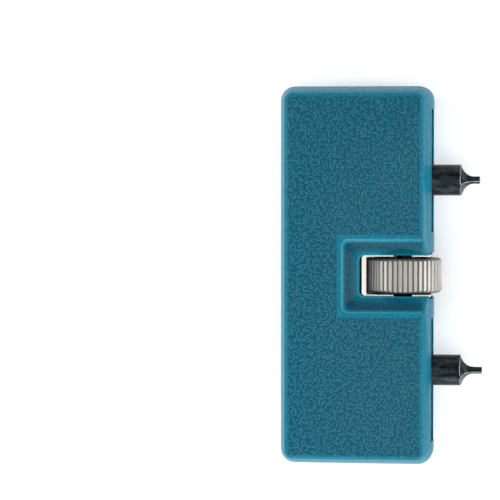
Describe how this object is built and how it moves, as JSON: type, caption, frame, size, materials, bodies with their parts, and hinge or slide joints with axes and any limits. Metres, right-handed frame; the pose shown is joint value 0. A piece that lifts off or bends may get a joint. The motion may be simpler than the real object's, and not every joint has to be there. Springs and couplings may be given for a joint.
{
  "type": "case back opener",
  "caption": "Pocket opener for screw-back watch cases: a knurled wheel turns a lead screw that spreads or closes the pins along slots in a moulded case.",
  "frame": {"origin": "on the surface the tool lies on, under the middle of its box: midway between the case's back edge and the longer pin tip", "axes": "+Z out of the front face, +Y along the case and the lead screw, +X out along the pins"},
  "size_m": [0.04, 0.075, 0.017],
  "materials": {
    "teal_plastic": "wrinkle grain, satin",
    "nickel_plate": "nickel plated",
    "black_oxide": "black oxide, oiled",
    "zinc_steel": "plain bright steel",
    "brass": "turned"
  },
  "bodies": {
    "case": {"front_shell": "teal_plastic", "back_shell": "teal_plastic", "case_screw_1": "zinc_steel", "case_screw_2": "zinc_steel", "case_screw_3": "zinc_steel", "case_screw_4": "zinc_steel", "wheel_yoke": "nickel_plate", "upper_thrust_washer": "brass", "lower_thrust_washer": "brass", "upper_end_bush": "brass", "lower_end_bush": "brass", "guide_rod": "zinc_steel"},
    "wheel": {"thumb_wheel": "nickel_plate", "wheel_set_screw": "black_oxide", "lead_screw": "black_oxide"},
    "upper_carriage": {"upper_jaw": "zinc_steel", "upper_pin": "black_oxide", "upper_pin_set_screw": "black_oxide"},
    "lower_carriage": {"lower_jaw": "zinc_steel", "lower_pin": "black_oxide", "lower_pin_set_screw": "black_oxide"}
  },
  "joints": [
    {"name": "upper_pin_slide", "type": "slide", "parent": "case", "child": "upper_carriage", "axis": [0, 1, 0], "range_m": [-0.0072, 0.01095]},
    {"name": "lower_pin_slide", "type": "slide", "parent": "case", "child": "lower_carriage", "axis": [0, 1, 0], "range_m": [-0.01095, 0.0072]},
    {"name": "wheel_turn", "type": "hinge", "parent": "case", "child": "wheel", "pos_m": [0.00447, 0, 0.0085], "axis": [0, 1, 0], "range_deg": [-3705, 5633]}
  ],
  "couplings": [
    {"joint": "lower_pin_slide", "follows": "upper_pin_slide", "ratio": -1},
    {"joint": "wheel_turn", "follows": "upper_pin_slide", "rad_per_m": 8976}
  ]
}
